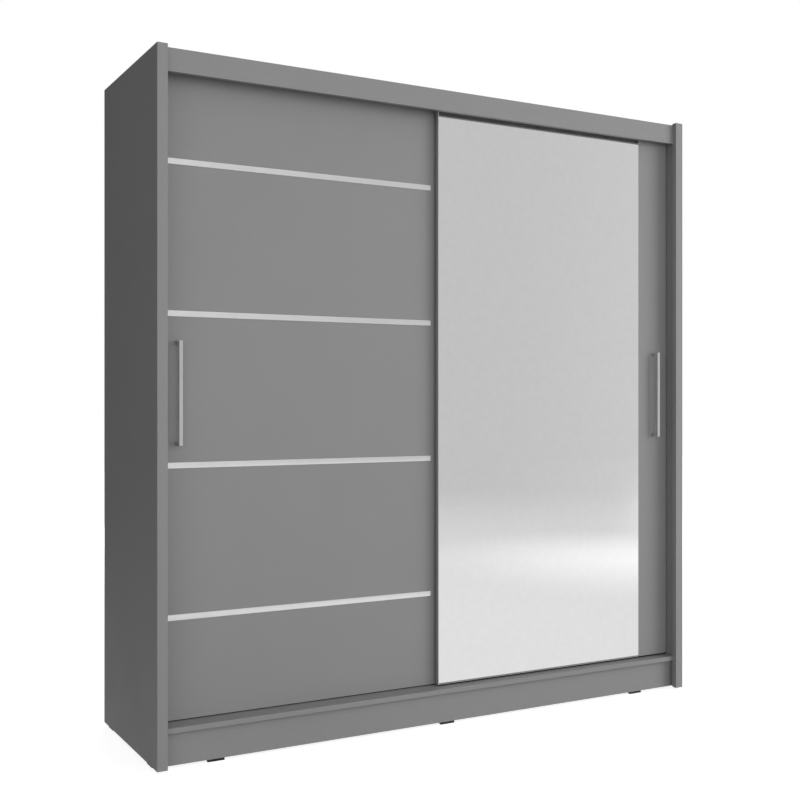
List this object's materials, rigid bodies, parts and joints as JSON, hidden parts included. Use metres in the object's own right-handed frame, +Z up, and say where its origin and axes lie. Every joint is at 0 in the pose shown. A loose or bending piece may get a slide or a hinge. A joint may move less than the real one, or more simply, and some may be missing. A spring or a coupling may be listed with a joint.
{
  "type": "sliding door wardrobe",
  "caption": "Free-standing wardrobe with bypass sliding doors, metal-trimmed and mirrored, bar handles, a plinth base, shelves and a hanging rail.",
  "frame": {"origin": "on the floor, at the middle of the wardrobe's width and depth", "axes": "+X to the right of a person facing the doors, +Y from the doors towards the wall behind, +Z up"},
  "size_m": [2.03, 0.6, 2.136],
  "materials": {
    "grey_board": "matt melamine face on chipboard",
    "grey_hardboard": "painted hardboard",
    "grey_plastic": "extruded, matt",
    "steel_fasteners": "zinc plated",
    "cast_zinc": "die cast, dull",
    "mill_aluminium": "extruded, natural",
    "rubber_stops": "matt",
    "chromed_tube": "polished",
    "beech_dowel": "bare, fluted",
    "black_plastic": "moulded, matt",
    "satin_strip": "satin anodised",
    "satin_handle": "satin anodised",
    "mirror_glass": "silvered float glass",
    "moulded_carrier": "moulded",
    "nylon": "turned nylon"
  },
  "bodies": {
    "carcass": {"left_side_panel": "grey_board", "right_side_panel": "grey_board", "left_front_stile": "grey_board", "right_front_stile": "grey_board", "top_panel": "grey_board", "fascia": "grey_board", "bottom_panel": "grey_board", "centre_partition": "grey_board", "front_plinth": "grey_board", "rear_plinth": "grey_board", "plinth_cross_support": "grey_board", "back_panel_left": "grey_hardboard", "back_panel_right": "grey_hardboard", "back_joint_strip": "grey_plastic", "back_panel_nails": "steel_fasteners", "top_track": "mill_aluminium", "track_stops": "rubber_stops", "track_screws": "steel_fasteners", "bottom_rails": "grey_plastic", "left_shelf_1": "grey_board", "left_shelf_2": "grey_board", "left_shelf_3": "grey_board", "left_shelf_4": "grey_board", "hat_shelf": "grey_board", "shelf_pins": "steel_fasteners", "hanging_rail": "chromed_tube", "rail_end_sockets": "cast_zinc", "cam_locks": "cast_zinc", "cam_bolts": "steel_fasteners", "wooden_dowels": "beech_dowel", "floor_glides": "black_plastic"},
    "left_door": {"left_door_panel": "grey_board", "left_door_handle": "satin_handle", "left_door_handle_screws": "steel_fasteners", "left_door_wheel_carrier_1": "moulded_carrier", "left_door_wheel_carrier_2": "moulded_carrier", "left_door_axles": "steel_fasteners", "left_door_pin_housing_1": "moulded_carrier", "left_door_pin_housing_2": "moulded_carrier", "left_door_strip_1": "satin_strip", "left_door_strip_2": "satin_strip", "left_door_strip_3": "satin_strip", "left_door_strip_4": "satin_strip"},
    "right_door": {"right_door_panel": "grey_board", "right_door_handle": "satin_handle", "right_door_handle_screws": "steel_fasteners", "right_door_wheel_carrier_1": "moulded_carrier", "right_door_wheel_carrier_2": "moulded_carrier", "right_door_axles": "steel_fasteners", "right_door_pin_housing_1": "moulded_carrier", "right_door_pin_housing_2": "moulded_carrier", "right_door_mirror": "mirror_glass"},
    "left_wheel_1": {"left_door_wheel_1": "nylon"},
    "left_guide_pin_1": {"left_door_guide_pin_1": "nylon"},
    "left_wheel_2": {"left_door_wheel_2": "nylon"},
    "left_guide_pin_2": {"left_door_guide_pin_2": "nylon"},
    "right_wheel_1": {"right_door_wheel_1": "nylon"},
    "right_guide_pin_1": {"right_door_guide_pin_1": "nylon"},
    "right_wheel_2": {"right_door_wheel_2": "nylon"},
    "right_guide_pin_2": {"right_door_guide_pin_2": "nylon"}
  },
  "joints": [
    {"name": "left_door_slide", "type": "slide", "parent": "carcass", "child": "left_door", "axis": [1, 0, 0], "range_m": [0, 0.885]},
    {"name": "right_door_slide", "type": "slide", "parent": "carcass", "child": "right_door", "axis": [1, 0, 0], "range_m": [-0.885, 0]},
    {"name": "left_wheel_1_spin", "type": "hinge", "parent": "left_door", "child": "left_wheel_1", "pos_m": [-0.901, -0.204, 0.1392], "axis": [0, 1, 0], "range_deg": [-5, 3200]},
    {"name": "left_guide_pin_1_press", "type": "slide", "parent": "left_door", "child": "left_guide_pin_1", "axis": [0, 0, -1], "range_m": [0, 0.012], "stiffness_N_per_m": 200, "springref_m": -0.01},
    {"name": "left_wheel_2_spin", "type": "hinge", "parent": "left_door", "child": "left_wheel_2", "pos_m": [-0.065, -0.204, 0.1392], "axis": [0, 1, 0], "range_deg": [-5, 3200]},
    {"name": "left_guide_pin_2_press", "type": "slide", "parent": "left_door", "child": "left_guide_pin_2", "axis": [0, 0, -1], "range_m": [0, 0.012], "stiffness_N_per_m": 200, "springref_m": -0.01},
    {"name": "right_wheel_1_spin", "type": "hinge", "parent": "right_door", "child": "right_wheel_1", "pos_m": [0.065, -0.23, 0.1392], "axis": [0, 1, 0], "range_deg": [-3200, 5]},
    {"name": "right_guide_pin_1_press", "type": "slide", "parent": "right_door", "child": "right_guide_pin_1", "axis": [0, 0, -1], "range_m": [0, 0.012], "stiffness_N_per_m": 200, "springref_m": -0.01},
    {"name": "right_wheel_2_spin", "type": "hinge", "parent": "right_door", "child": "right_wheel_2", "pos_m": [0.901, -0.23, 0.1392], "axis": [0, 1, 0], "range_deg": [-3200, 5]},
    {"name": "right_guide_pin_2_press", "type": "slide", "parent": "right_door", "child": "right_guide_pin_2", "axis": [0, 0, -1], "range_m": [0, 0.012], "stiffness_N_per_m": 200, "springref_m": -0.01}
  ],
  "couplings": [
    {"joint": "left_wheel_1_spin", "follows": "left_door_slide", "rad_per_m": 62.5},
    {"joint": "left_wheel_2_spin", "follows": "left_door_slide", "rad_per_m": 62.5},
    {"joint": "right_wheel_1_spin", "follows": "right_door_slide", "rad_per_m": 62.5},
    {"joint": "right_wheel_2_spin", "follows": "right_door_slide", "rad_per_m": 62.5}
  ]
}
